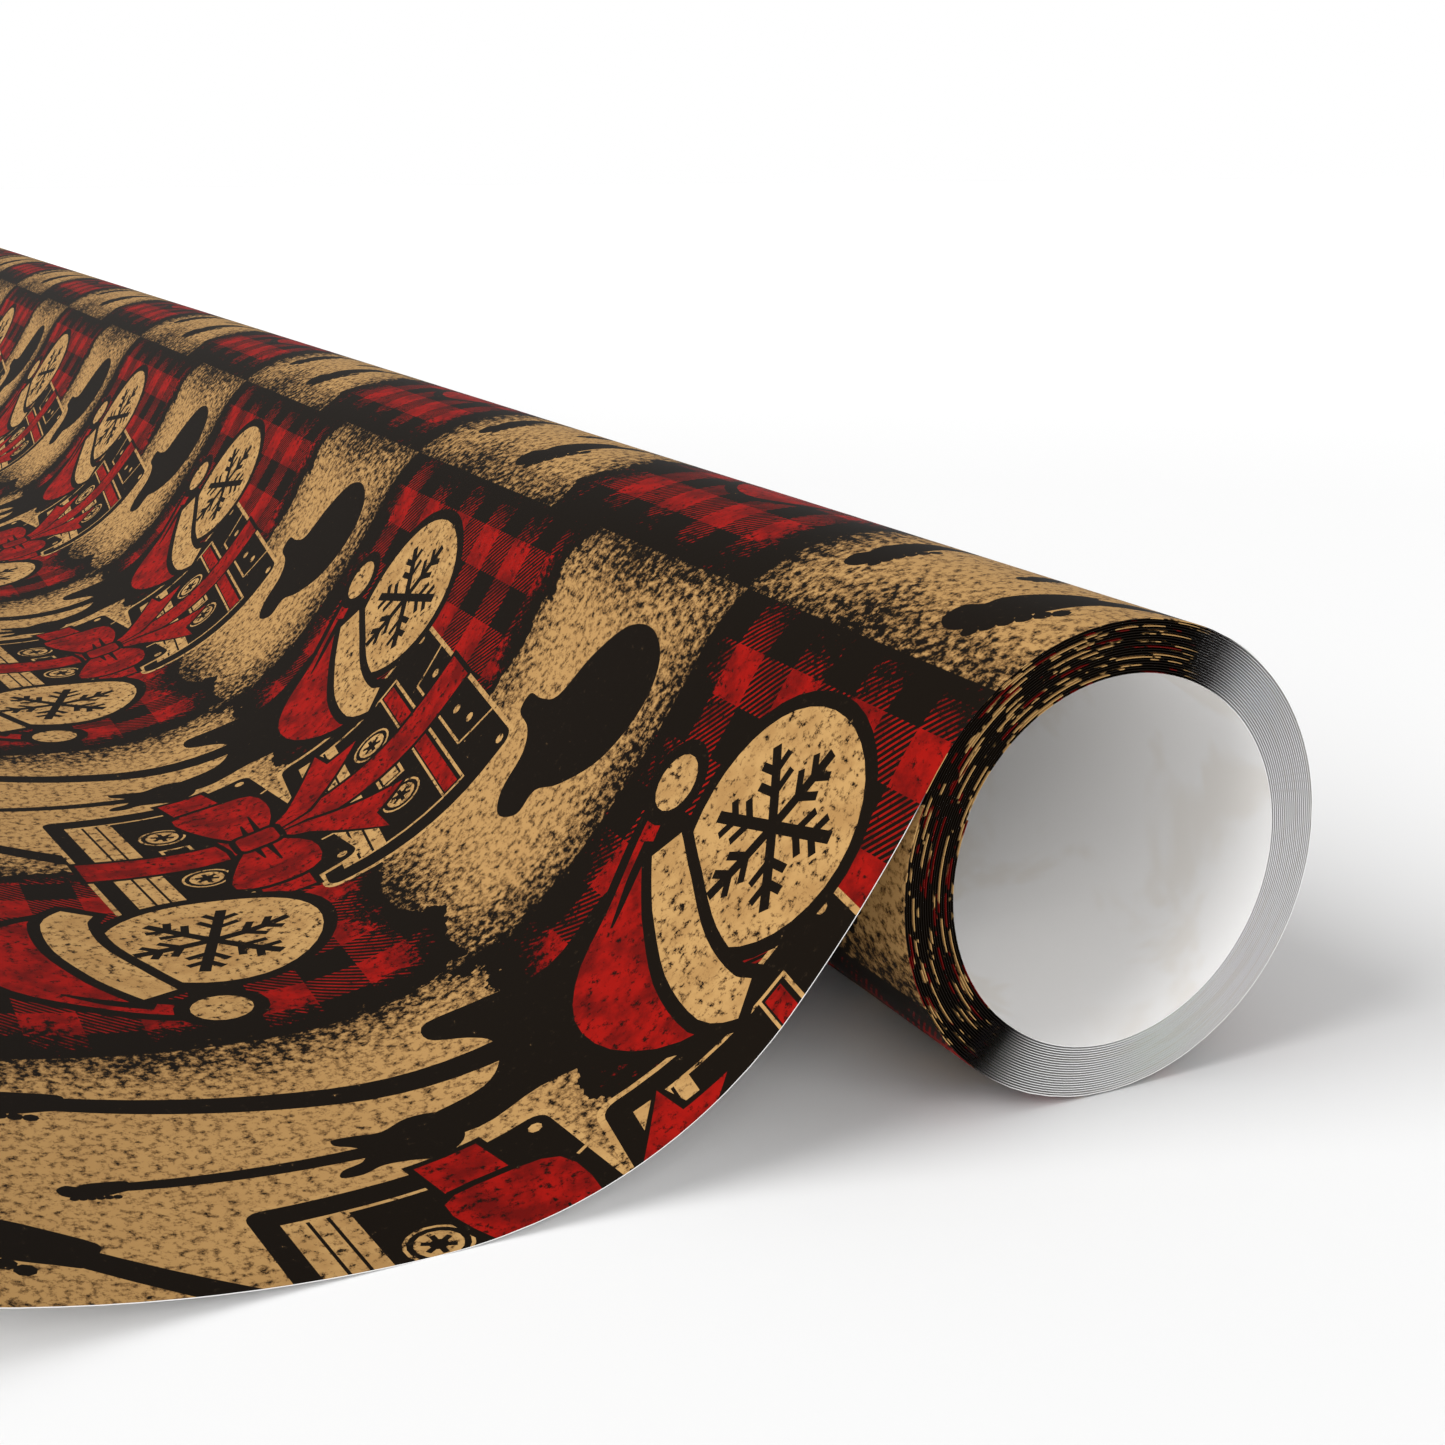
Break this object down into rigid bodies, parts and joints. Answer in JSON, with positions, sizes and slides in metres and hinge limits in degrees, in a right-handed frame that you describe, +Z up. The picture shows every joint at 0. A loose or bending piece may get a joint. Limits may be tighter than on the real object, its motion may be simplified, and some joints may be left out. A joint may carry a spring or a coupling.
{
  "type": "wrapping paper roll",
  "caption": "Coreless roll of printed gift-wrapping paper, with its outer end drawn off over the top and laid on the table in front of it.",
  "frame": {"origin": "on the roll's axis, at the middle of the roll's length", "axes": "+X along the roll's axis, +Z up, and the sheet is drawn off over the top towards -Y"},
  "size_m": [0.762, 0.1321, 0.038],
  "materials": {
    "wound_paper": "matt, white reverse",
    "printed_sheet": "printed, satin"
  },
  "bodies": {
    "lead_out": {"outer_turn": "printed_sheet", "sheet_fall": "printed_sheet", "bend_upper": "printed_sheet", "bend_lower": "printed_sheet"},
    "wound_roll": {"turn_01": "wound_paper", "turn_02": "wound_paper", "turn_03": "wound_paper", "turn_04": "wound_paper", "turn_05": "wound_paper", "turn_06": "wound_paper", "turn_07": "wound_paper", "turn_08": "wound_paper", "turn_09": "wound_paper", "turn_10": "wound_paper", "turn_11": "wound_paper", "turn_12": "wound_paper", "turn_13": "wound_paper", "turn_14": "wound_paper", "turn_15": "wound_paper", "turn_16": "wound_paper", "turn_17": "wound_paper", "turn_18": "wound_paper", "turn_19": "wound_paper", "turn_20": "wound_paper", "turn_21": "wound_paper"},
    "drawn_sheet": {"table_lap": "printed_sheet", "lift_lower": "printed_sheet", "lift_upper": "printed_sheet", "free_edge": "printed_sheet"}
  },
  "joints": [
    {"name": "roll_turn", "type": "hinge", "parent": "lead_out", "child": "wound_roll", "pos_m": [0, 0, 0], "axis": [1, 0, 0], "range_deg": [-30, 90]},
    {"name": "sheet_pull", "type": "slide", "parent": "lead_out", "child": "drawn_sheet", "axis": [0, -1, 0], "range_m": [-0.01, 0.03]}
  ],
  "couplings": [
    {"joint": "sheet_pull", "follows": "roll_turn", "m_per_rad": 0.01895}
  ]
}
